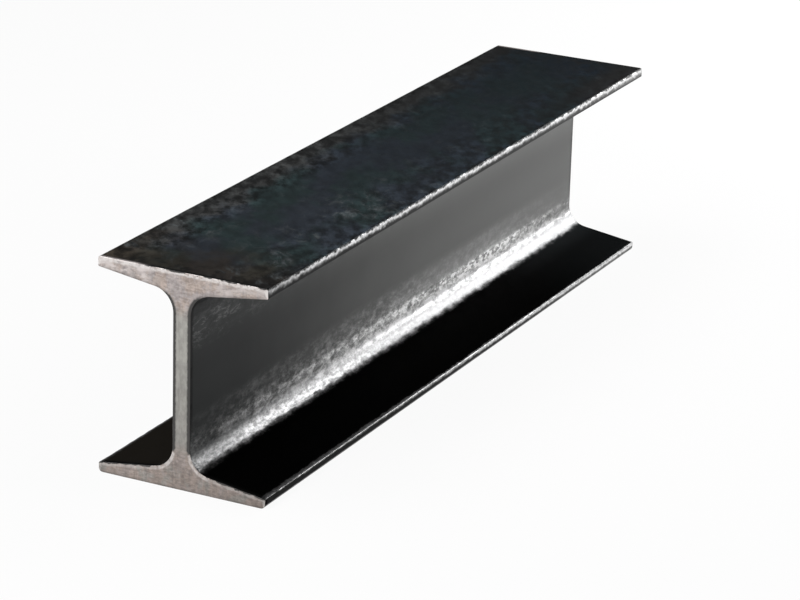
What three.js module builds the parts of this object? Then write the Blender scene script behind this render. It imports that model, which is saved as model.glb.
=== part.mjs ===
// A sawn length of hot-rolled steel beam, H-shaped in section: two wide flanges that thin
// towards their tips, joined by an upright web.
//
// Millimetres, +Z up. The beam lies along X on its lower flange, and the origin is under
// its middle, at the level it lies on.

import * as THREE from 'three';

// Rolled section
const depth = 150; // over the outer faces of both flanges
const flangeWidth = 125;
const webThickness = 13;
const tipThickness = 7; // of a flange at its tip, before the edges are rounded
const taperDegrees = 8; // slope of a flange's inner face
const rootRadius = 16; // fillet between the web and a flange
const toeRadius = 1; // inner edge of a flange tip
const cornerRadius = 1.5; // outer edge of a flange tip

// Sawn piece
const length = 600;
const arrisBreak = 0.8; // chamfer left where the burr is filed off a sawn end

// Straight steps that make up each round
const rootSteps = 12;
const edgeSteps = 4;

const millScale = new THREE.MeshStandardMaterial({
  name: 'mill_scale',
  color: 0x2c2f34,
  roughness: 0.42,
  metalness: 0.75,
});

// The section is drawn with x across the flanges, zero at the web's middle, and y upwards
// from the underside of the beam.

// Height of the upper flange's inner face at a distance x from the web's middle.
function innerFace(x) {
  const slope = Math.tan(THREE.MathUtils.degToRad(taperDegrees));
  return depth - tipThickness - slope * (flangeWidth / 2 - x);
}

// Upper right quarter of the outline: round the flange tip, in along the sloping inner face
// and down into the web. Each round is tangent to the two faces that it joins.
function quarterOutline() {
  const taper = THREE.MathUtils.degToRad(taperDegrees);
  const quarterTurn = Math.PI / 2;
  const tip = flangeWidth / 2;
  const toeX = tip - toeRadius;
  const rootX = webThickness / 2 + rootRadius;
  const toeY = innerFace(toeX) + toeRadius / Math.cos(taper);
  const rootY = innerFace(rootX) - rootRadius / Math.cos(taper);

  const corner = new THREE.ArcCurve(
    tip - cornerRadius, depth - cornerRadius, cornerRadius, quarterTurn, 0, true,
  );
  const toe = new THREE.ArcCurve(toeX, toeY, toeRadius, 0, taper - quarterTurn, true);
  const root = new THREE.ArcCurve(
    rootX, rootY, rootRadius, quarterTurn + taper, 2 * quarterTurn, false,
  );
  return [
    ...corner.getPoints(edgeSteps),
    ...toe.getPoints(edgeSteps),
    ...root.getPoints(rootSteps),
  ];
}

// The section is symmetric about its web and about mid-depth.
function sectionShape() {
  const upper = quarterOutline();
  const lower = upper.map((point) => new THREE.Vector2(point.x, depth - point.y)).reverse();
  const right = [...upper, ...lower];
  const left = right.map((point) => new THREE.Vector2(-point.x, point.y)).reverse();
  return new THREE.Shape([...right, ...left]);
}

// Rolled as one piece and sawn square, so the section runs unchanged from end to end, and
// only the sawn edges are broken.
function makeBeam() {
  const geometry = new THREE.ExtrudeGeometry(sectionShape(), {
    depth: length - 2 * arrisBreak,
    bevelThickness: arrisBreak,
    bevelSize: arrisBreak,
    bevelOffset: -arrisBreak,
    bevelSegments: 1,
  });
  const beam = new THREE.Mesh(geometry, millScale);
  beam.name = 'h_beam';
  beam.rotation.set(Math.PI / 2, Math.PI / 2, 0); // x, y and depth become Y, Z and X
  beam.position.x = arrisBreak - length / 2;
  return beam;
}

const group = new THREE.Group();
group.add(makeBeam());

export default group;
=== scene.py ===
import math
from types import SimpleNamespace

import bpy
import numpy as np
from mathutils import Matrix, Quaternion, Vector, geometry, noise


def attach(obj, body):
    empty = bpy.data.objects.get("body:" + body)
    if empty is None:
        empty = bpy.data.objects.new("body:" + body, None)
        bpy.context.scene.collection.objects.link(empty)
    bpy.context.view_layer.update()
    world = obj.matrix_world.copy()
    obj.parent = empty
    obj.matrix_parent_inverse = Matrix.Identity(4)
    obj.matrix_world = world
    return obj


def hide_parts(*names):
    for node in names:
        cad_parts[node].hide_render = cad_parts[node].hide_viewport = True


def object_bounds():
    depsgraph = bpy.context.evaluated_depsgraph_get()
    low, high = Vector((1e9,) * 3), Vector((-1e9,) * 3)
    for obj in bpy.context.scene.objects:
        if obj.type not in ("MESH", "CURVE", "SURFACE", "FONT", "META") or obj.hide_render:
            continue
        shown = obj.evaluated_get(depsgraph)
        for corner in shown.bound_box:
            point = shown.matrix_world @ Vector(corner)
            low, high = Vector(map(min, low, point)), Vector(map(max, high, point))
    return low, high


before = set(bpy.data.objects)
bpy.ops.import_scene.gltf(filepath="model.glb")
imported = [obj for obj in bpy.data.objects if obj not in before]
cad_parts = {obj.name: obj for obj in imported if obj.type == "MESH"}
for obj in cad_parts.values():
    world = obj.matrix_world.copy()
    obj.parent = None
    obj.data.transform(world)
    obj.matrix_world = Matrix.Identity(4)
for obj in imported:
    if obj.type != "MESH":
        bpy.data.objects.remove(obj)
cadLow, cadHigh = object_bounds()
print("frame loaded")

# A sawn length of rolled H-beam lying on its lower flange: dark mill scale over the rolled
# skin, rubbed bright along the web roots and flange tips, and bare metal on the sawn ends.
# Painted highlight and shade are laid into some of these colours, as noted where they are made.
# X runs along the beam and Y across it. The section, its wear and its finishes are worked
# out in millimetres. Meshes, camera and studio are in metres.

millimetre = 0.001
halfLength, halfWidth, halfDepth = [
    (high - low) / 2 / millimetre for low, high in zip(cadLow, cadHigh)]


# the rolled section, with y across it and z up from mid-depth

rolledSection = {
    # in millimetres and degrees
    "webThickness": 13,
    "tipThickness": 7,  # of a flange, at its tip
    "taper": 8,  # slope of a flange's inner face
    "rootRadius": 16,
    "toeRadius": 1,
    "cornerRadius": 1.5,
    "skinStep": 2,  # mesh spacing round the section
    "fineStep": 2 / 3,  # and at the flange tips
    "fineEdge": 2,  # width of the finer strip beside a corner
}


def innerFace(y):
    # height of an upper flange's inner face
    slope = math.tan(math.radians(rolledSection["taper"]))
    return halfDepth - rolledSection["tipThickness"] - slope * (halfWidth - y)


def rootCentre():
    # of the fillet that joins an upper inner face to the web
    s = rolledSection
    y = s["webThickness"] / 2 + s["rootRadius"]
    return y, innerFace(y) - s["rootRadius"] / math.cos(math.radians(s["taper"]))


def straight(start, end, normal, spacing):
    count = max(1, math.ceil((end - start).length / spacing))
    return [(start.lerp(end, i / count), normal) for i in range(count)]


def arc(centre, radius, begin, end, spacing, hollow=False):
    # hollow: the steel lies outside the arc, as at a web root
    count = max(4, math.ceil(radius * abs(end - begin) / spacing))
    points = []
    for i in range(count):
        angle = begin + (end - begin) * i / count
        ray = Vector((math.cos(angle), math.sin(angle)))
        points.append((centre + ray * radius, -ray if hollow else ray))
    return points


def quarterSkin():
    # points, outward normals and the way round the skin to each point, from the middle of
    # the top round the flange tip and down to the middle of the web, and the way round at
    # which each stretch begins
    s = rolledSection
    step, fineStep = s["skinStep"], s["fineStep"]
    slope, quarterTurn = math.radians(s["taper"]), math.pi / 2
    upwards, outwards = Vector((0, 1)), Vector((1, 0))
    down = Vector((math.sin(slope), -math.cos(slope)))  # square to the inner face
    cornerAt = Vector((halfWidth - s["cornerRadius"], halfDepth - s["cornerRadius"]))
    toeY = halfWidth - s["toeRadius"]
    toeAt = Vector((toeY, innerFace(toeY) + s["toeRadius"] / math.cos(slope)))
    rootAt = Vector(rootCentre())
    topMiddle = Vector((0, halfDepth))
    topFine = Vector((cornerAt.x - s["fineEdge"], halfDepth))
    topEnd = Vector((cornerAt.x, halfDepth))
    tipHead, tipFoot = Vector((halfWidth, cornerAt.y)), Vector((halfWidth, toeAt.y))
    toeFoot = toeAt + down * s["toeRadius"]
    rootHead = rootAt - down * s["rootRadius"]
    rootFoot = rootAt - Vector((s["rootRadius"], 0))
    webMiddle = Vector((rootFoot.x, 0))

    stretches = (
        ("outer", straight(topMiddle, topFine, upwards, step)
         + straight(topFine, topEnd, upwards, fineStep)),
        ("corner", arc(cornerAt, s["cornerRadius"], quarterTurn, 0, step)),
        ("tip", straight(tipHead, tipFoot, outwards, fineStep)),
        ("toe", arc(toeAt, s["toeRadius"], 0, slope - quarterTurn, step)),
        ("inner", straight(toeFoot, rootHead, down, step)),
        ("root", arc(rootAt, s["rootRadius"], quarterTurn + slope, math.pi, step, hollow=True)),
        ("web", straight(rootFoot, webMiddle, outwards, step) + [(webMiddle, outwards)]),
    )
    skin, startOf, way = [], {}, 0.0
    for name, points in stretches:
        for i, (point, normal) in enumerate(points):
            if skin:
                way += (point - skin[-1][0]).length
            if i == 0:
                startOf[name] = way
            skin.append((point, normal, way))
    return skin, startOf


def mirrored(skin, y, z):
    turn = Vector((y, z))
    return [(point * turn, normal * turn, way) for point, normal, way in reversed(skin)]


quarter, startOf = quarterSkin()
rightHalf = quarter + mirrored(quarter, 1, -1)[1:]
wholeSkin = rightHalf + mirrored(rightHalf, -1, 1)[1:-1]
print("section drawn,", len(wholeSkin), "points round")


# nodes that the finishes are made of; an amount may be a number or another node's socket

def addNode(tree, kind, settings=None, **inputs):
    made = tree.nodes.new(kind)
    for name, value in (settings or {}).items():
        setattr(made, name, value)
    for name, value in inputs.items():
        feed(tree, made.inputs[name.replace("_", " ")], value)
    return made


def feed(tree, socket, value):
    if isinstance(value, bpy.types.NodeSocket):
        tree.links.new(value, socket)
    else:
        socket.default_value = value


def maths(tree, operation, first, second=0.0, clamp=False):
    made = addNode(tree, "ShaderNodeMath", {"operation": operation, "use_clamp": clamp})
    feed(tree, made.inputs[0], first)
    feed(tree, made.inputs[1], second)
    return made.outputs[0]


def times(tree, product, *others):
    for value in others:
        product = maths(tree, "MULTIPLY", product, value)
    return product


def plus(tree, total, *others):
    for value in others:
        total = maths(tree, "ADD", total, value)
    return total


def larger(tree, first, second):
    return maths(tree, "MAXIMUM", first, second)


def awayFrom(tree, value, middle):
    return maths(tree, "ABSOLUTE", maths(tree, "SUBTRACT", value, middle))


def mixColour(tree, amount, below, above, blend="MIX"):
    made = addNode(tree, "ShaderNodeMix", {"data_type": "RGBA", "blend_type": blend})
    feed(tree, made.inputs[0], amount)
    feed(tree, made.inputs[6], below)
    feed(tree, made.inputs[7], above)
    return made.outputs[2]


def shade(tree, tone, factor):
    return mixColour(tree, 1.0, tone, factor, "MULTIPLY")


def mixValue(tree, amount, below, above):
    made = addNode(tree, "ShaderNodeMix", {"data_type": "FLOAT"})
    feed(tree, made.inputs[0], amount)
    feed(tree, made.inputs[2], below)
    feed(tree, made.inputs[3], above)
    return made.outputs[0]


def stretch(tree, value, low, high, outLow=0.0, outHigh=1.0):
    made = addNode(tree, "ShaderNodeMapRange", {"interpolation_type": "SMOOTHSTEP"})
    feed(tree, made.inputs[0], value)
    for index, amount in enumerate((low, high, outLow, outHigh), start=1):
        made.inputs[index].default_value = amount
    return made.outputs[0]


def ramp(tree, value, *stops):
    # reads an amount off a line drawn through stops of (value, amount)
    low, high = stops[0][0], stops[-1][0]
    made = tree.nodes.new("ShaderNodeValToRGB")
    feed(tree, made.inputs[0],
         maths(tree, "DIVIDE", maths(tree, "SUBTRACT", value, low), high - low))
    elements = made.color_ramp.elements
    elements[0].color = (stops[0][1],) * 3 + (1,)
    elements[1].color = (stops[-1][1],) * 3 + (1,)
    for at, amount in stops[1:-1]:
        elements.new((at - low) / (high - low)).color = (amount,) * 3 + (1,)
    return made.outputs[0]


def place(tree, drawn=(1, 1, 1), turn=(0, 0, 0)):
    # the beam's own coordinates in millimetres, drawn out along axes that may be turned
    coordinates = tree.nodes.new("ShaderNodeTexCoord")
    made = addNode(tree, "ShaderNodeMapping", {"vector_type": "TEXTURE"},
                   Vector=coordinates.outputs["Object"])
    made.inputs["Scale"].default_value = [amount * millimetre for amount in drawn]
    made.inputs["Rotation"].default_value = turn
    return made.outputs[0]


def cloud(tree, where, size, detail=3.0, roughness=0.55, distortion=0.0):
    made = addNode(tree, "ShaderNodeTexNoise", Vector=where, Scale=1 / size,
                   Detail=detail, Roughness=roughness, Distortion=distortion)
    return made.outputs["Fac"]


def sway(tree, where, size, span, **kind):
    # a cloud that wanders to both sides of zero
    return times(tree, maths(tree, "SUBTRACT", cloud(tree, where, size, **kind), 0.5), span)


def vary(tree, amount, fleck, contrast):
    # more in some flecks and less in others, the same on average
    swing = times(tree, maths(tree, "SUBTRACT", fleck, 0.5), 2 * contrast)
    return times(tree, amount, plus(tree, swing, 1.0))


def attribute(tree, name):
    return addNode(tree, "ShaderNodeAttribute", {"attribute_name": name}).outputs["Fac"]


def newFinish(name, kind="ShaderNodeBsdfPrincipled"):
    finish = bpy.data.materials.new(name)
    finish.use_nodes = True
    tree = finish.node_tree
    tree.nodes.clear()
    shader = tree.nodes.new(kind)
    output = tree.nodes.new("ShaderNodeOutputMaterial")
    tree.links.new(shader.outputs[0], output.inputs["Surface"])
    return finish, tree, shader


# mill scale and rubbed steel, on the rolled skin

scaleTones = {
    "blueBlack": (0.0180, 0.0263, 0.0310, 1),
    "farBlack": (0.0010, 0.0055, 0.0095, 1),
    "greenTint": (0.89, 1.04, 0.92, 1),
    "blueTint": (1.11, 0.96, 1.08, 1),
    "greyEdge": (0.0285, 0.0295, 0.0295, 1),
    "farEdge": (0.0050, 0.0055, 0.0060, 1),
    "brown": (0.0235, 0.0170, 0.0108, 1),
    "paleWisp": (0.058, 0.066, 0.070, 1),
    "soot": (0.0035, 0.0035, 0.0035, 1),
    "webDark": (0.0165, 0.0176, 0.0178, 1),
    # the web's painted sheen towards the +X end
    "webSheenGrey": (0.115, 0.116, 0.114, 1),
    "tipDark": (0.006, 0.006, 0.006, 1),
    "tipGrey": (0.15, 0.15, 0.148, 1),
    # painted shade for the inner faces between web and flanges
    "innerShadeBlack": (0.0006, 0.0006, 0.0006, 1),
    "innerGrey": (0.016, 0.018, 0.019, 1),
    "innerBrown": (0.0120, 0.0104, 0.0084, 1),
    "flakedBare": (0.43, 0.385, 0.375, 1),
    "rubbedSteel": (0.63, 0.63, 0.635, 1),
    "steelGrit": (0.80, 0.80, 0.80, 1),
    "speckGlintSteel": (0.95, 0.95, 0.95, 1),
}

wear = {
    # shares of one; the stops of ramps below are millimetres up the web from a root's foot,
    # along the beam from its middle, or round the skin
    "speckContrast": 0.8,  # between the coarse flecks of the specks above a root
    "speckGrain": 0.5,  # and between the fine ones
    "dots": 0.85,  # steel in the row of bright dots
    "rowSpecks": 0.58,  # of the specks, left between those dots
    "hazeSpecks": 0.78,  # and left in the haze above them
    "hazeEvenness": 0.6,
    "shoulderContrast": 0.55,  # between flecks on the upper half of a root's curve
    "stripContrast": 0.45,  # and down the whole of it
    # painted shade: the upper roots, under the top flange, keep little of the lower roots' bare steel
    "upperRoots": 0.15,  # of the lower roots' bare steel, on the upper ones
    "scratches": 0.07,
    "scratchHaze": 0.015,  # steel between the scratches
    "tipContrast": 0.35,  # between flecks along the flange tips
    "speckle": 0.9,  # along the edges of the outer faces
    "endBrown": 0.75,
    "besideCutDark": 0.95,
    "rootRoughness": 0.46,
    "steelRoughness": 0.34,
}


def skinPlaces(tree):
    # what a spot on the skin is known by, in millimetres
    flat = place(tree)
    spot = addNode(tree, "ShaderNodeSeparateXYZ", Vector=flat)
    along, across, up = spot.outputs["X"], spot.outputs["Y"], spot.outputs["Z"]
    way = attribute(tree, "wayRound")
    return SimpleNamespace(
        flat=flat,
        slanted=place(tree, drawn=(1.5, 1, 1), turn=(0, 0, math.radians(30))),
        drawnOut=place(tree, drawn=(2, 1, 1)),
        along=along,
        across=across,
        offMiddle=maths(tree, "ABSOLUTE", across),
        sideways=plus(tree, across, sway(tree, flat, 26, 44)),  # across, with ragged bounds
        up=up,  # from the floor
        upper=stretch(tree, up, halfDepth - 4, halfDepth + 4),  # 1 above mid-depth
        way=way,  # round the skin, from the middle of the nearer outer face
        # up the web from a root's foot: from -23 to 0 on its curve, lower on the flange, and
        # below -70 on an outer face
        climb=maths(tree, "SUBTRACT", way, startOf["web"]),
        fromCut=maths(tree, "SUBTRACT", halfLength, maths(tree, "ABSOLUTE", along)))


def speckShare(tree, at, fleck, fine):
    # specks of bare steel on the web, close above a root, made near white as painted glints
    specks = ramp(tree, at.climb, (-6, 0), (-5, 0.1), (-4, 0.2), (-3, 0.35), (-2, 0.48), (-1, 0.44),
                  (0, 0.49), (1, 0.58), (2, 0.68), (3, 0.74), (4, 0.73), (5, 0.63), (6, 0.45),
                  (7, 0.31), (8, 0.24), (10, 0.21), (12, 0.17), (14, 0.125), (16, 0.115), (20, 0.10),
                  (22, 0.055), (24, 0.02), (27, 0))
    # fewer towards the -X end: wear, and a painted fall-off of the root's highlight
    specks = times(tree, specks,
                   ramp(tree, at.along, (-290, 0.09), (-255, 0.155), (-220, 0.28), (-150, 0.38),
                        (-50, 0.67), (50, 1), (150, 1.18), (200, 0.84), (230, 0.48), (280, 0.18)))
    # towards the +X end they cluster in a row of bright dots, painted glints, with a smooth haze above it
    haze = times(tree, stretch(tree, at.along, -60, 90), stretch(tree, at.climb, 5, 8))
    specks = times(tree, specks, mixValue(tree, haze, 1.0, wear["hazeSpecks"]))
    row = times(tree, stretch(tree, at.along, -100, 60), stretch(tree, specks, 0.3, 0.7))
    dots = times(tree, stretch(tree, cloud(tree, at.drawnOut, 2.8, detail=1), 0.5, 0.61), row)
    flecked = vary(tree, vary(tree, specks, fleck, wear["speckContrast"]), fine, wear["speckGrain"])
    specks = mixValue(tree, times(tree, haze, wear["hazeEvenness"]), flecked, specks)
    return plus(tree, times(tree, specks, mixValue(tree, row, 1.0, wear["rowSpecks"])),
                times(tree, dots, wear["dots"]))


def shoulderShare(tree, at, fleck):
    # steel on the upper half of a root's curve
    shoulder = ramp(tree, at.climb, (-10.5, 0), (-10, 0.15), (-9, 0.36), (-8, 0.48), (-7, 0.62),
                    (-6, 0.76), (-5, 0.80), (-4, 0.66), (-3, 0.5), (-2, 0.24), (-1, 0.1), (0, 0))
    # less towards the -X end: wear, and a painted fall-off of the root's highlight
    shoulder = times(tree, shoulder,
                     ramp(tree, at.along, (-290, 0), (-255, 0.1), (-220, 0.2), (-150, 0.45),
                          (-50, 0.88), (50, 1), (150, 0.92), (230, 0.7), (280, 0.52)))
    return vary(tree, shoulder, fleck, wear["shoulderContrast"])


def stripShare(tree, at, fine):
    # the strip rubbed bare down the whole curve, with a ragged foot that drifts along the beam
    ragged = sway(tree, at.drawnOut, 4.6, 8, detail=4, roughness=0.62)
    shift = ramp(tree, at.along, (-290, 0.5), (-260, 0), (-200, 0.25), (-100, 0.8), (0, 1.35),
                 (100, 1.8), (230, 2.2))
    foot = ramp(tree, plus(tree, at.climb, ragged, shift), (-18.2, 0), (-16.8, 0.04), (-15.6, 0.12),
                (-14.9, 0.3), (-14.2, 0.65), (-13.5, 0.9), (-12.8, 1))
    head = ramp(tree, at.climb, (-10, 1), (-8, 0.84), (-7, 0.7), (-6, 0.6), (-5, 0.5), (-4, 0.35),
                (-3, 0.2), (-1, 0))
    # less at the -X end: wear, and a painted fall-off of the root's highlight
    strip = times(tree, foot, head,
                  ramp(tree, at.along, (-290, 0.26), (-255, 0.29), (-220, 0.48), (-150, 0.48),
                       (-50, 0.37), (50, 0.37), (150, 0.34), (290, 0.29)))
    calm = stretch(tree, at.along, -150, 60, 1.0, 0.3)
    return vary(tree, strip, mixValue(tree, calm, 0.5, fine), wear["stripContrast"])


def scratchShare(tree, at):
    # curled scratches under an upper root, mostly near the -X end
    curls = cloud(tree, place(tree, drawn=(3.5, 1, 1)), 6, detail=4, roughness=0.65)
    curls = stretch(tree, awayFrom(tree, curls, 0.5), 0.045, 0.0)
    patches = stretch(tree, cloud(tree, at.drawnOut, 9, detail=4, roughness=0.7), 0.42, 0.6, 0.2, 1.3)
    return times(tree, plus(tree, times(tree, curls, wear["scratches"]), wear["scratchHaze"]),
                 ramp(tree, at.climb, (0, 0), (5, 0.8), (14, 1), (27, 0)),
                 ramp(tree, at.along, (-300, 0.7), (-260, 1), (-225, 0.6), (-150, 0.2), (100, 0.1)),
                 patches)


def rubbedShare(tree, at):
    # how much bare steel shows along the web roots; how much shows along the beam is partly a painted
    # fall-off of the root's highlight
    fleck = stretch(tree, cloud(tree, at.drawnOut, 4.2, detail=5, roughness=0.72), 0.34, 0.66)
    fine = stretch(tree, cloud(tree, at.drawnOut, 2.6, detail=3, roughness=0.7), 0.34, 0.66)
    specks = speckShare(tree, at, fleck, fine)
    shoulder = shoulderShare(tree, at, fleck)
    lower = larger(tree, plus(tree, specks, shoulder), stripShare(tree, at, fine))
    # painted shade: little of the bare steel on the upper roots, under the top flange
    upper = plus(tree, times(tree, lower, wear["upperRoots"]), scratchShare(tree, at))
    return mixValue(tree, at.upper, lower, upper)


def tipShare(tree, at):
    # and how much shows along the flange tips, worn most on the upper ones; the bright lines it lays
    # below the corners are partly painted highlight
    ragged = sway(tree, at.flat, 5, mixValue(tree, at.upper, 3.4, 5.6), detail=5, roughness=0.65)
    fromCorner = maths(tree, "SUBTRACT", at.way, startOf["corner"])
    drop = plus(tree, fromCorner, ragged)
    above = ramp(tree, drop, (1.3, 0), (2.0, 0.26), (2.4, 0.78), (2.9, 1), (3.4, 0.85), (3.9, 0.53),
                 (4.4, 0.29), (4.9, 0.12), (5.5, 0.02), (6.0, 0))
    above = times(tree, above,
                  ramp(tree, at.along, (-290, 0.45), (-265, 0.58), (-235, 0.92), (-200, 1)))

    # on a lower tip the worn line climbs along the beam, and its corner is rubbed as well
    climbing = ramp(tree, at.along, (-290, 0), (-255, 0.3), (-150, 0.7), (-50, 1.6), (50, 1.95),
                    (150, 2.3), (230, 2.6), (290, 2.75))
    below = ramp(tree, plus(tree, drop, climbing), (6.8, 0), (7.3, 0.08), (7.8, 0.35), (8.3, 0.8),
                 (8.8, 1), (9.3, 0.73), (9.9, 0.42), (10.7, 0.25), (11.5, 0))
    below = times(tree, below,
                  ramp(tree, at.along, (-290, 0.34), (-255, 0.5), (-220, 0.52), (-150, 0.38),
                       (-50, 0.53), (50, 0.84), (150, 0.74), (230, 0.9), (290, 1.1)))
    pastToe = times(tree, stretch(tree, at.way, startOf["toe"] - 0.3, startOf["toe"] + 0.9),
                    stretch(tree, at.along, 140, 230, 0.0, 0.5))
    below = times(tree, below, maths(tree, "SUBTRACT", 1.0, pastToe))
    corner = ramp(tree, fromCorner, (-1.2, 0), (-0.2, 0.5), (0.8, 0.9), (1.7, 0.62), (2.6, 0.14),
                  (3.4, 0.02), (4.0, 0))
    below = larger(tree, below, corner)
    below = times(tree, below, stretch(tree, at.across, 5, -5, 0.15, 1.0))
    fleck = stretch(tree, cloud(tree, at.flat, 3, detail=3), 0.3, 0.7)
    return vary(tree, mixValue(tree, at.upper, below, above), fleck, wear["tipContrast"])


def outerTone(tree, at):
    # outer faces: blue-black, greyer along the +Y edge and browner at the -X end
    middle = mixColour(tree, ramp(tree, at.along, (-150, 0), (290, 1)), scaleTones["blueBlack"],
                       scaleTones["farBlack"])
    edge = mixColour(tree, ramp(tree, at.along, (-60, 0), (290, 1)), scaleTones["greyEdge"],
                     scaleTones["farEdge"])
    tint = mixColour(tree, stretch(tree, cloud(tree, at.slanted, 42, detail=3), 0.42, 0.58),
                     scaleTones["greenTint"], scaleTones["blueTint"])
    dulled = times(tree, stretch(tree, at.across, -34, -50), stretch(tree, at.along, 120, 240))
    middle = mixColour(tree, dulled, shade(tree, middle, tint), scaleTones["farEdge"])
    tone = mixColour(tree, stretch(tree, at.sideways, 32, 50), middle, edge)
    endwards = plus(tree, at.along, sway(tree, at.slanted, 14, 110, detail=5))
    browned = stretch(tree, endwards, -290, -225, wear["endBrown"], 0.0)
    tone = mixColour(tree, browned, tone, scaleTones["brown"])
    sooty = times(tree, stretch(tree, at.across, -42, -52),
                  stretch(tree, at.along, -235, -270, 0.0, 0.55))
    return mixColour(tree, sooty, tone, scaleTones["soot"])


def wispShare(tree, at):
    # pale wisps, mostly towards the -X end and away from the middle of a face
    wisps = cloud(tree, at.slanted, 11, detail=8, roughness=0.68, distortion=0.8)
    area = times(tree, stretch(tree, cloud(tree, at.flat, 60, detail=1), 0.40, 0.58),
                 ramp(tree, at.along, (-300, 0.9), (-120, 0.9), (-40, 0.35), (290, 0.15)),
                 stretch(tree, awayFrom(tree, at.across, 4), 4, 26, 0.3, 1.15))
    return times(tree, stretch(tree, wisps, 0.50, 0.72), area)


def speckled(tree, at, tone):
    # light and dark flecks, strongest along the edges of the outer faces
    flecks = stretch(tree, cloud(tree, at.slanted, 8, detail=5, roughness=0.72), 0.34, 0.66, 0.24, 1.74)
    greyEdge = times(tree, stretch(tree, at.sideways, 24, 38),
                     stretch(tree, at.along, -60, 140, 1.0, 0.42))
    area = larger(tree, greyEdge, stretch(tree, at.offMiddle, 50, 57))
    area = larger(tree, area, stretch(tree, at.sideways, -16, -36, 0.0, 0.38))
    tone = shade(tree, tone, mixValue(tree, times(tree, area, wear["speckle"]), 1.0, flecks))
    mottle = stretch(tree, cloud(tree, at.slanted, 8, detail=6, roughness=0.6), 0.3, 0.7, 0.78, 1.22)
    return shade(tree, tone, maths(tree, "POWER", mottle, stretch(tree, at.offMiddle, 14, 30, 1.0, 1.9)))


def tipTone(tree, at):
    # the flange tips grey along the beam, the lower ones sooner
    upperDrift = ramp(tree, at.along, (-290, 0), (-100, 0.1), (100, 0.17), (200, 0.4), (290, 1))
    lowerDrift = ramp(tree, at.along, (-290, 0.11), (-150, 0.14), (-50, 0.19), (50, 0.26),
                      (150, 0.45), (230, 0.8), (290, 1))
    return mixColour(tree, mixValue(tree, at.upper, lowerDrift, upperDrift), scaleTones["tipDark"],
                     scaleTones["tipGrey"])


def innerShadeTone(tree, at):
    # painted shade: a flange's inner face, between the web and the flange, is made almost black, and
    # browner on the +Y side
    drift = times(tree, stretch(tree, at.along, 120, 300), stretch(tree, at.climb, -38, -22, 0.45, 1.0))
    tone = mixColour(tree, drift, scaleTones["innerShadeBlack"], scaleTones["innerGrey"])
    return mixColour(tree, stretch(tree, at.across, -5, 5), tone, scaleTones["innerBrown"])


def webToneAndSheen(tree, at):
    # painted sheen: the web greys along the beam, standing in for the lamps' reflection towards the +X
    # end, and is a little paler towards its roots
    cloudy = sway(tree, at.flat, 50, 70, detail=3)
    tone = mixColour(tree, stretch(tree, plus(tree, at.along, cloudy), -300, 130),
                     scaleTones["webDark"], scaleTones["webSheenGrey"])
    return shade(tree, tone, ramp(tree, at.up, (40, 1.16), (66, 1.1), (82, 1), (88, 1.02), (98, 1.2),
                                  (108, 1.25)))


def scaleTone(tree, at, wisps):
    tone = speckled(tree, at, mixColour(tree, wisps, outerTone(tree, at), scaleTones["paleWisp"]))
    tone = mixColour(tree, stretch(tree, at.way, startOf["corner"], startOf["tip"]), tone,
                     tipTone(tree, at))
    pastToe = plus(tree, at.way, ramp(tree, at.along, (0, 0), (100, 0.4), (230, 1.35)))
    tone = mixColour(tree, stretch(tree, pastToe, startOf["toe"], startOf["inner"] + 1), tone,
                     innerShadeTone(tree, at))
    return mixColour(tree, stretch(tree, at.climb, -9, -3), tone, webToneAndSheen(tree, at))


def darkBesideCutShare(tree, at):
    # beside a sawn end the scale is darker, evenly for a few millimetres and then in blots
    darkEdge = times(tree, stretch(tree, at.fromCut, 2, 5, wear["besideCutDark"], 0.0),
                  stretch(tree, at.along, -100, 100, 1.0, 0.3),
                  larger(tree, ramp(tree, at.climb, (-24, 1), (-16, 0), (6, 0), (14, 1)), at.upper))
    blots = times(tree, stretch(tree, cloud(tree, at.flat, 7, detail=3), 0.50, 0.60),
                  ramp(tree, at.fromCut, (3, 0.8), (14, 0.65), (24, 0)),
                  stretch(tree, at.climb, -60, -80))
    return larger(tree, darkEdge, blots)


def flakedShare(tree, at):
    # and the +Y half of a cut's top edge has lost it
    return times(tree, stretch(tree, at.fromCut, 3.8, 0.2), stretch(tree, at.sideways, 22, 34),
                 stretch(tree, at.way, startOf["tip"], startOf["corner"], 0, 0.85), at.upper)


def steelShare(tree, at, rubbed):
    # the rubbed steel of roots and tips, which mostly stops short of a cut
    steel = maths(tree, "ADD", rubbed, tipShare(tree, at), clamp=True)
    toCut = larger(tree, stretch(tree, at.fromCut, 0.2, 1.6),
                   ramp(tree, at.climb, (-19, 0), (-16, 0.8), (-7, 0.8), (-3, 0)))
    underTop = times(tree, at.upper, stretch(tree, at.climb, -30, -20))
    return times(tree, steel, mixValue(tree, underTop, toCut, stretch(tree, at.fromCut, 1, 5)))


def steelTone(tree, at):
    # grittier on the tips, above all towards the +X end
    gritty = times(tree, stretch(tree, at.climb, -60, -70), stretch(tree, at.along, -300, 290, 0.3, 1.0))
    tone = mixColour(tree, gritty, scaleTones["rubbedSteel"], scaleTones["steelGrit"])
    # the specks on the web are near white, as painted glints
    return mixColour(tree, stretch(tree, at.climb, -4, -1), tone, scaleTones["speckGlintSteel"])


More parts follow.
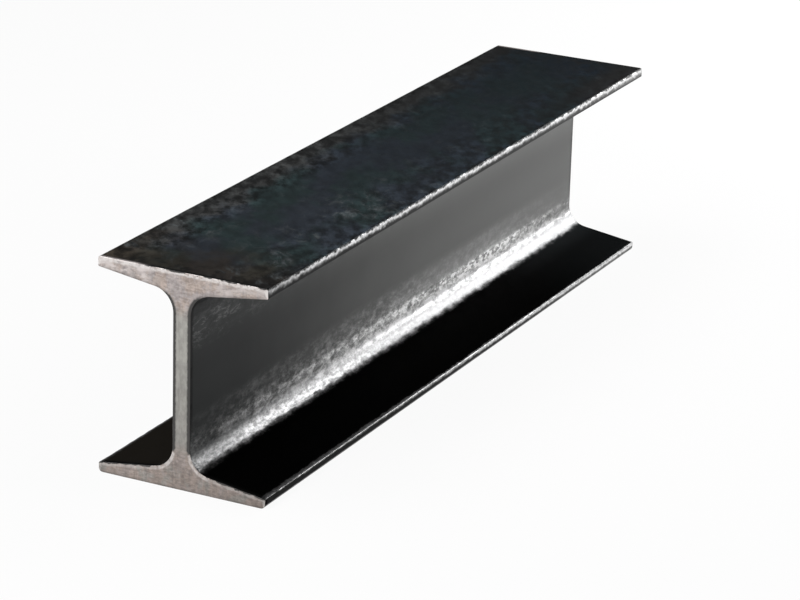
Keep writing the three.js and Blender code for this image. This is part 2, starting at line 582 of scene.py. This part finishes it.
def skinBump(tree, at, wisps, rubbed):
    pits = addNode(tree, "ShaderNodeTexVoronoi", Vector=at.flat, Scale=1 / 2.6)
    height = plus(tree, times(tree, cloud(tree, at.flat, 0.9, detail=2), 0.25),
                  times(tree, stretch(tree, pits.outputs["Distance"], 0.0, 0.42), 0.15),
                  times(tree, wisps, 0.3))
    height = times(tree, height, stretch(tree, at.climb, -30, -50, 0.4, 1.0))
    scale = addNode(tree, "ShaderNodeBump", Strength=0.5, Distance=0.15 * millimetre,
                    Height=height)
    # the rubbed steel is dented between its grains, less on the +X half of a root's curve
    calm = mixValue(tree, stretch(tree, at.climb, -4, -8), 1.0,
                    stretch(tree, at.along, -150, 60, 1.0, 0.2))
    grains = times(tree, cloud(tree, at.flat, 3.6, detail=2, roughness=0.5),
                   stretch(tree, rubbed, 0.0, 0.4), calm)
    return addNode(tree, "ShaderNodeBump", {"invert": True}, Strength=0.8,
                   Distance=0.4 * millimetre, Height=grains, Normal=scale.outputs[0])


def skinFinish(name, refraction):
    finish, tree, shader = newFinish(name)
    at = skinPlaces(tree)
    wisps = wispShare(tree, at)
    rubbed = rubbedShare(tree, at)
    steel = steelShare(tree, at, rubbed)
    tone = mixColour(tree, darkBesideCutShare(tree, at), scaleTone(tree, at, wisps), scaleTones["soot"])
    tone = mixColour(tree, flakedShare(tree, at), tone, scaleTones["flakedBare"])
    tone = mixColour(tree, steel, tone, steelTone(tree, at))

    scaleRoughness = stretch(tree, cloud(tree, at.slanted, 11, detail=4), 0.3, 0.7, 0.42, 0.50)
    roughness = mixValue(tree, stretch(tree, at.climb, -17, -13), scaleRoughness,
                         wear["rootRoughness"])
    roughness = mixValue(tree, steel, roughness, wear["steelRoughness"])
    shine = times(tree, stretch(tree, steel, 0.0, 0.06),
                  ramp(tree, at.climb, (-4.5, 1), (-3, 0.8), (-2, 0.5), (-1, 0.25), (0, 0.12),
                       (5, 0.08)))

    feed(tree, shader.inputs["Base Color"], tone)
    feed(tree, shader.inputs["Metallic"], shine)
    feed(tree, shader.inputs["Roughness"], roughness)
    feed(tree, shader.inputs["Normal"], skinBump(tree, at, wisps, rubbed).outputs[0])
    shader.inputs["IOR"].default_value = refraction
    return finish


# bare metal, on the sawn ends

sawnTones = {
    "mauve": (0.43, 0.385, 0.375, 1),
    "tan": (0.46, 0.385, 0.345, 1),
    "greenGrey": (0.42, 0.408, 0.38, 1),
    # painted highlight on a sawn end's upward edge
    "bright": (0.78, 0.74, 0.72, 1),
    "peeled": (0.68, 0.62, 0.60, 1),
    "stroke": (0.20, 0.18, 0.17, 1),
    # painted shade on a sawn end's rim, and its dark chips
    "rimShadeAndChips": (0.040, 0.038, 0.036, 1),
}


def sawnPlaces(tree):
    flat = place(tree)
    spot = addNode(tree, "ShaderNodeSeparateXYZ", Vector=flat)
    across, up = spot.outputs["Y"], spot.outputs["Z"]
    offMiddle = maths(tree, "ABSOLUTE", across)
    return SimpleNamespace(
        flat=flat,
        across=across,
        offMiddle=offMiddle,
        up=up,  # from the floor
        onWeb=stretch(tree, awayFrom(tree, up, halfDepth), 54, 40),
        byLowerRoot=times(tree, stretch(tree, offMiddle, 28, 14), stretch(tree, up, 60, 40)),
        # the painted highlight and shade of a sawn end's edge, carried in from its rim
        rim=attribute(tree, "rimMark"))


def sawnToneAndShade(tree, at):
    # mauve and tan patches, greyer on the web; painted shade makes it darker downwards and towards the -Y
    # side below, as the light from above falls off
    patch = cloud(tree, place(tree, drawn=(1, 1, 1.5)), 8, detail=4, roughness=0.65)
    patch = maths(tree, "ADD", stretch(tree, patch, 0.42, 0.58),
                  stretch(tree, at.up, 60, 15, 0, 0.6), clamp=True)
    tone = mixColour(tree, patch, sawnTones["mauve"], sawnTones["tan"])
    greyed = times(tree, stretch(tree, cloud(tree, at.flat, 15, detail=3), 0.5, 0.58),
                   stretch(tree, at.up, 45, 30, 0.0, 0.65))
    tone = mixColour(tree, larger(tree, at.onWeb, greyed), tone, sawnTones["greenGrey"])
    # painted shade: darker downwards and towards the -Y side
    low = plus(tree, at.up, times(tree, at.across, 0.22), sway(tree, at.flat, 24, 40))
    tone = shade(tree, tone, ramp(tree, low, (-10, 0.64), (145, 1)))
    # painted shade: darker at the -Y side of the lower flange
    sides = ramp(tree, at.across, (-60, 0.78), (-34, 1), (8, 1), (34, 1.1), (60, 0.98))
    return shade(tree, tone, mixValue(tree, stretch(tree, at.up, 20, 45), sides, 1.0))


def sawMarked(tree, at, tone, stroke):
    # strokes up the section, and short smears across them
    tone = mixColour(tree, stretch(tree, stroke, 0.56, 0.74, 0, 0.35), tone, sawnTones["stroke"])
    smear = cloud(tree, place(tree, drawn=(1, 3, 1)), 1.5, detail=4, roughness=0.7)
    smear = mixValue(tree, at.onWeb, stretch(tree, smear, 0.3, 0.7, 0.76, 1.22), 1.0)
    tone = shade(tree, tone, smear)
    blotch = cloud(tree, place(tree, drawn=(1, 1, 1.8)), 3.5, detail=4, roughness=0.6)
    return shade(tree, tone, stretch(tree, blotch, 0.35, 0.65, 0.86, 1.12))


def peelShare(tree, at):
    # the metal has peeled pale out along the upper flange
    leaning = place(tree, drawn=(1, 2.5, 1), turn=(math.radians(-8), 0, 0))
    peel = stretch(tree, cloud(tree, leaning, 4, detail=5, roughness=0.6), 0.41, 0.60)
    outer = times(tree, stretch(tree, at.offMiddle, 14, 30), stretch(tree, at.up, 118, 138),
                  stretch(tree, at.across, -40, 30, 0.6, 1.0))
    return times(tree, peel, outer)


def rimHighlightShare(tree, at):
    # painted highlight: the rim is made bright where it faces up, less so on the lower flange away from
    # the roots
    ragged = stretch(tree, cloud(tree, at.flat, 4, detail=5, roughness=0.65), 0.38, 0.56, 0.25, 1.0)
    height = larger(tree, stretch(tree, at.up, 40, 60, 0.35, 1.0), times(tree, at.byLowerRoot, 0.7))
    return times(tree, stretch(tree, at.rim, 0.05, 0.35), ragged, height)


def rimShadeAndChipsShare(tree, at):
    # painted shade darkens the rim at the web's sides and where it faces down, and the rim is chipped
    # dark where it faces up
    chips = times(tree, cloud(tree, place(tree, drawn=(1, 1.8, 1)), 4, detail=4), 1.8)
    chips = plus(tree, chips, stretch(tree, at.up, 60, 40, 0.0, 0.2))
    chips = maths(tree, "SUBTRACT", chips, times(tree, at.byLowerRoot, 0.7))
    chips = stretch(tree, plus(tree, at.rim, chips), 1.80, 1.94)
    chipArea = larger(tree, stretch(tree, at.across, 34, 22), stretch(tree, at.up, 60, 40))
    return larger(tree, stretch(tree, at.rim, -0.04, -0.5), times(tree, chips, chipArea))


def sawnFinish(name, rimHighlightStrength):
    finish, tree, shader = newFinish(name)
    at = sawnPlaces(tree)
    strokes = place(tree, drawn=(1, 1, 30), turn=(math.radians(-3), 0, 0))
    stroke = cloud(tree, strokes, 1.3, detail=3, roughness=0.6)
    peel = peelShare(tree, at)
    darkEdge = rimShadeAndChipsShare(tree, at)
    tone = sawMarked(tree, at, sawnToneAndShade(tree, at), stroke)
    tone = mixColour(tree, peel, tone, sawnTones["peeled"])
    # painted highlight along the rim where it faces up
    tone = mixColour(tree, times(tree, rimHighlightShare(tree, at), rimHighlightStrength), tone, sawnTones["bright"])
    # painted shade on the rim, with its dark chips
    tone = mixColour(tree, darkEdge, tone, sawnTones["rimShadeAndChips"])

    height = plus(tree, stroke, times(tree, cloud(tree, at.flat, 0.8), 0.3), times(tree, peel, 0.6))
    bump = addNode(tree, "ShaderNodeBump", Strength=0.3, Distance=0.2 * millimetre, Height=height)
    feed(tree, shader.inputs["Base Color"], tone)
    feed(tree, shader.inputs["Roughness"], stretch(tree, stroke, 0.3, 0.7, 0.40, 0.55))
    feed(tree, shader.inputs["Normal"], bump.outputs[0])
    feed(tree, shader.inputs["Metallic"], stretch(tree, darkEdge, 0, 1, 0.6, 0.1))
    return finish


# the beam

beamFacts = {
    # in millimetres, apart from shares and the angle
    "lengthStep": 3,  # mesh spacing along the beam
    "sawnStep": 1.4,  # and across a sawn end
    # unevenness of the skin: how deep it is, and how long it runs along the beam and round it
    "rollingWave": (0.08, 90, 35),  # left by the rolls
    "scalePatch": (0.05, 11, 8),
    "tipKnock": (0.25, 14, 20),  # extra wear on the edges of the flange tips
    "lowerKnock": 0.3,  # share of that wear on the lower tips
    "toeChatter": (0.5, 6, 20),  # on the lower toes
    "cornerRub": 0.85,  # depth of wear on the two lower corners
    "rubReach": 2.9,  # and how far to each side it goes
    "sawRidge": 0.07,  # middling depth of the saw's ridges
    "sawStroke": (1.6, 40),  # width and length of a stroke
    "sawSweep": (9, 60),
    "strokeLean": 0.05,
    "arrisBreak": 0.3,  # at the edges of the sawn ends
    "rimBand": 3.0,  # how far in from the edge of a sawn end its rim shows
    "tightReach": 15,  # how far short of the web the tight scale stops
    "sharpAngle": math.radians(32),  # edges sharper than this stay crisp
}


def ease(value, low, high):
    part = min(1.0, max(0.0, (value - low) / (high - low)))
    return part * part * (3 - 2 * part)


def inSteel(y, z):
    # whether a point of the section, moved into its upper right quarter, lies in the steel
    s = rolledSection
    y, z = abs(y), abs(z)
    if y > halfWidth or z > halfDepth:
        return False
    if y <= s["webThickness"] / 2 or z >= innerFace(y):
        return True
    rootY, rootZ = rootCentre()
    inRoot = y < rootY - s["rootRadius"] * math.sin(math.radians(s["taper"])) and z > rootZ
    return inRoot and math.hypot(y - rootY, z - rootZ) > s["rootRadius"]


def unevenness(fact, x, y, z, shift=(0, 0)):
    depth, along, around = beamFacts[fact]
    spot = (x / along, y / around + shift[0], z / around + shift[1])
    return depth * (0.5 + 0.5 * noise.noise(Vector(spot)))


def skinDepth(x, y, z, way):
    # how far wear and rolling take the skin in from its nominal place
    onTip = (ease(way, startOf["corner"] - 1, startOf["tip"])
             * ease(way, startOf["inner"], startOf["toe"] - 2))
    knocked = onTip if z > 0 else beamFacts["lowerKnock"] * onTip
    depth = (unevenness("rollingWave", x, y, z) + unevenness("scalePatch", x, y, z, shift=(0, 7))
             + knocked * unevenness("tipKnock", x, y, z, shift=(3, 0)))
    if z < 0:
        # the lower corners are rubbed rounder, and the toes above them are uneven
        fromCorner = abs(way - (startOf["corner"] + startOf["tip"]) / 2)
        depth += beamFacts["cornerRub"] * (1 - ease(fromCorner, 0, beamFacts["rubReach"]))
        onToe = (ease(way, startOf["toe"] - 2, startOf["toe"])
                 * ease(way, startOf["inner"] + 4, startOf["inner"]))
        chatter = unevenness("toeChatter", x, y, 0, shift=(9, 0))
        depth += onToe * chatter * ease(halfLength - abs(x), 0, 20)
    return depth


def sawDepth(y, z):
    # the blade's strokes run up the section and lean a little
    across = y + beamFacts["strokeLean"] * z
    (strokeWidth, strokeLength), (sweepWidth, sweepLength) = beamFacts["sawStroke"], beamFacts["sawSweep"]
    stroke = noise.noise(Vector((across / strokeWidth, z / strokeLength, 2)))
    sweep = noise.noise(Vector((across / sweepWidth, z / sweepLength, 5)))
    return beamFacts["sawRidge"] * (1 + 0.6 * stroke + 0.4 * sweep)


def rimMark(normal, way):
    # painted highlight and shade on a sawn end's edge, by the way it faces: 1 where it faces up, less at
    # a flange tip, and down to -1 at the web's sides and where it faces down
    onTip = 0.45 * ease(abs(normal.x), 0.6, 0.9) if way < startOf["toe"] else 0.0
    lit = max(ease(normal.y, 0.03, 0.3), onTip)
    side = ease(abs(normal.x), 0.35, 0.9) if way > startOf["root"] else 0.0
    under = 0.28 * ease(-normal.y, 0.2, 0.6)
    return lit - (1 - lit) * max(side, under)


def addVert(body, x, y, z, way=0.0, rim=0.0):
    body.verts.append((x * millimetre, y * millimetre, (z + halfDepth) * millimetre))
    body.wayRound.append(way)
    body.rimMark.append(rim)
    return len(body.verts) - 1


def skinRing(body, x, depthAt):
    # a ring of the body's points round the section, each set in from the skin by its depth
    ring = []
    for point, normal, way in wholeSkin:
        y, z = point - normal * depthAt(x, point.x, point.y, way)
        ring.append(addVert(body, x, y, z, way, rimMark(normal, way)))
    return ring


def arrisDepth(x, y, z, way):
    # the broken edge of a sawn end, which stays inside the skin where wear goes deeper
    arris = beamFacts["arrisBreak"]
    burr = noise.noise(Vector((x * 0.04, y / 4, z / 4)))
    return max(arris * (1 + 0.5 * burr), skinDepth(x, y, z, way) + arris / 3)


def sawnFace(body, ring, x, inwards):
    # triangles across a sawn end, set in by the saw's ridges
    step = beamFacts["sawnStep"]
    rim = [Vector((body.verts[i][1] / millimetre, body.verts[i][2] / millimetre - halfDepth))
           for i in ring]
    rimY, rimZ = np.array([tuple(point) for point in rim]).T
    rows, columns = int(halfDepth / step), int(halfWidth / step)
    inner = []
    for row in range(-rows, rows + 1):
        for column in range(-columns, columns + 1):
            y, z = (column + 0.5 * (row % 2)) * step, row * step
            if inSteel(y, z) and np.min(np.hypot(rimY - y, rimZ - z)) > 0.8 * step:
                inner.append(Vector((y, z)))
    insideOutline, nearlyTouching = 1, 1e-7
    flat = geometry.delaunay_2d_cdt(rim + inner, [], [list(range(len(rim)))], insideOutline,
                                    nearlyTouching)
    points, triangles, origins = flat[0], flat[2], flat[3]
    index = []
    for point, origin in zip(points, origins):
        if origin and origin[0] < len(rim):
            index.append(ring[origin[0]])
            continue
        away = np.hypot(rimY - point.x, rimZ - point.y)
        nearest = int(np.argmin(away))
        fade = 1 - ease(away[nearest], 0, beamFacts["rimBand"])
        depth = sawDepth(point.x, point.y)
        index.append(addVert(body, x + inwards * depth, point.x, point.y,
                             rim=body.rimMark[ring[nearest]] * fade))
    faces = [tuple(index[i] for i in triangle) for triangle in triangles]
    return faces if inwards < 0 else [face[::-1] for face in faces]


def hasTightScale(here, after):
    # the lower tips, the inner faces and the foot of each root
    way = (here[2] + after[2]) / 2
    start = startOf["inner"] if here[0].y > 0 else startOf["tip"]
    return start < way < startOf["web"] - beamFacts["tightReach"]


def makeBeam():
    low, high = cadLow[0] / millimetre, cadHigh[0] / millimetre
    arris = beamFacts["arrisBreak"]
    stations = np.linspace(low + arris, high - arris,
                           1 + math.ceil((high - low) / beamFacts["lengthStep"]))
    body = SimpleNamespace(verts=[], wayRound=[], rimMark=[])
    rings = ([skinRing(body, low, arrisDepth)] + [skinRing(body, x, skinDepth) for x in stations]
             + [skinRing(body, high, arrisDepth)])
    around = len(wholeSkin)
    faces, faceFinishes = [], []
    for i, (near, far) in enumerate(zip(rings[:-1], rings[1:])):
        broken = i in (0, len(rings) - 2)
        for k in range(around):
            after = (k + 1) % around
            faces.append((near[k], far[k], far[after], near[after]))
            tight = hasTightScale(wholeSkin[k], wholeSkin[after])
            faceFinishes.append("arris" if broken else "tight" if tight else "scale")
    for ring, x, inwards in ((rings[0], low, 1), (rings[-1], high, -1)):
        capFaces = sawnFace(body, ring, x, inwards)
        faces += capFaces
        faceFinishes += ["sawn"] * len(capFaces)

    finishes = {
        "scale": skinFinish("blue_black_mill_scale", refraction=1.15),
        "tight": skinFinish("tight_black_scale", refraction=1.02),
        "sawn": sawnFinish("bare_sawn_steel", rimHighlightStrength=0.9),
        "arris": sawnFinish("filed_arris", rimHighlightStrength=1.0),
    }
    mesh = bpy.data.meshes.new("h_beam_rolled")
    mesh.from_pydata(body.verts, [], faces)
    for finish in finishes.values():
        mesh.materials.append(finish)
    slotOf = {name: i for i, name in enumerate(finishes)}
    mesh.polygons.foreach_set("material_index", [slotOf[name] for name in faceFinishes])
    for name, values in (("wayRound", body.wayRound), ("rimMark", body.rimMark)):
        mesh.attributes.new(name, "FLOAT", "POINT").data.foreach_set("value", values)
    mesh.shade_smooth()
    mesh.set_sharp_from_angle(angle=beamFacts["sharpAngle"])
    mesh.validate()
    mesh.update()

    beam = bpy.data.objects.new("h_beam_rolled", mesh)
    bpy.context.collection.objects.link(beam)
    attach(beam, "root")
    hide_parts("h_beam")
    return beam


beam = makeBeam()
print("beam made,", len(beam.data.polygons), "faces")


# the camera

shot = {
    # in metres and radians
    "aim": (-0.0077, -0.0103, 0.0432),
    "heading": math.radians(26.29),  # of the view, turned from +X towards +Y
    "dip": math.radians(19.77),
    "roll": math.radians(1.69),
    "distance": 2.392,
    "lens": 150,  # in millimetres
}


def makeCamera():
    flat = math.cos(shot["dip"])
    view = Vector((math.cos(shot["heading"]) * flat, math.sin(shot["heading"]) * flat,
                   -math.sin(shot["dip"])))
    camera = bpy.data.objects.new("camera", bpy.data.cameras.new("camera"))
    camera.data.lens = shot["lens"]
    camera.location = Vector(shot["aim"]) - view * shot["distance"]
    camera.rotation_mode = "QUATERNION"
    camera.rotation_quaternion = (view.to_track_quat("-Z", "Y")
                                  @ Quaternion((0, 0, 1), shot["roll"]))
    bpy.context.collection.objects.link(camera)
    bpy.context.scene.camera = camera


makeCamera()
print("camera set")


# the studio

studio = {
    # in metres
    "floorRadius": 8.0,
    "sweepHeight": 1.4,  # the floor curls up into a low wall all round
    "sweepRadius": 1.4,
    "floorColour": (0.90, 0.90, 0.90, 1),
    "floorGlow": 0.92,  # share of plain white in what the camera sees of the floor
    "worldGrey": 0.05,
}

lamps = {
    # where each soft lamp stands, its size and its watts; all are turned to the middle of
    # the floor, where the beam lies
    "sideBank": {"at": (1.25, -0.38, 0.45), "size": 0.75, "power": 13},
    "webBank": {"at": (0.50, -1.30, 0.45), "size": 0.8, "power": 10},
    "endFill": {"at": (-1.90, 0.50, 1.00), "size": 1.2, "power": 20},
    "overhead": {"at": (-0.74, 0.92, 1.85), "size": 1.4, "power": 22},
}


def floorFinish():
    # matt, but near white to the camera and in reflections
    finish, tree, mix = newFinish("pale_floor", "ShaderNodeMixShader")
    matt = addNode(tree, "ShaderNodeBsdfDiffuse", Color=studio["floorColour"])
    white = addNode(tree, "ShaderNodeEmission", Color=(1, 1, 1, 1), Strength=1.0)
    path = tree.nodes.new("ShaderNodeLightPath")
    seen = larger(tree, path.outputs["Is Camera Ray"], path.outputs["Is Glossy Ray"])
    seen = larger(tree, seen, path.outputs["Is Transmission Ray"])
    feed(tree, mix.inputs[0], times(tree, seen, studio["floorGlow"]))
    feed(tree, mix.inputs[1], matt.outputs[0])
    feed(tree, mix.inputs[2], white.outputs[0])
    return finish


def makeFloor():
    # a wide round floor whose rim sweeps up, so that no edge shows behind the beam
    sides, curveSteps = 96, 12
    radius, rise, curl = studio["floorRadius"], studio["sweepHeight"], studio["sweepRadius"]
    profile = [(radius * part, 0.0) for part in (0.02, 0.1, 0.25, 0.5, 0.8)]
    for i in range(curveSteps + 1):
        angle = math.pi / 2 * i / curveSteps
        profile.append((radius + curl * math.sin(angle), rise * (1 - math.cos(angle))))
    verts = [(r * math.cos(2 * math.pi * k / sides), r * math.sin(2 * math.pi * k / sides), z)
             for r, z in profile for k in range(sides)]
    faces = [tuple(range(sides))]
    for row in range(len(profile) - 1):
        for k in range(sides):
            after = (k + 1) % sides
            faces.append((row * sides + k, (row + 1) * sides + k,
                          (row + 1) * sides + after, row * sides + after))
    mesh = bpy.data.meshes.new("studioFloor")
    mesh.from_pydata(verts, [], faces)
    mesh.shade_smooth()
    mesh.materials.append(floorFinish())
    floor = bpy.data.objects.new("studioFloor", mesh)
    bpy.context.collection.objects.link(floor)


def makeLamp(name, facts):
    light = bpy.data.lights.new(name, "AREA")
    light.size = facts["size"]
    light.energy = facts["power"]
    lamp = bpy.data.objects.new(name, light)
    lamp.location = facts["at"]
    lamp.rotation_mode = "QUATERNION"
    lamp.rotation_quaternion = (-lamp.location).to_track_quat("-Z", "Y")
    lamp.visible_camera = False
    bpy.context.collection.objects.link(lamp)


def lightWorld():
    world = bpy.data.worlds.new("studio")
    world.use_nodes = True
    backdrop = world.node_tree.nodes["Background"]
    backdrop.inputs["Color"].default_value = (studio["worldGrey"],) * 3 + (1,)
    backdrop.inputs["Strength"].default_value = 1.0
    bpy.context.scene.world = world


makeFloor()
for name, facts in lamps.items():
    makeLamp(name, facts)
lightWorld()
bpy.context.scene.view_settings.view_transform = "Standard"
print("studio lit")
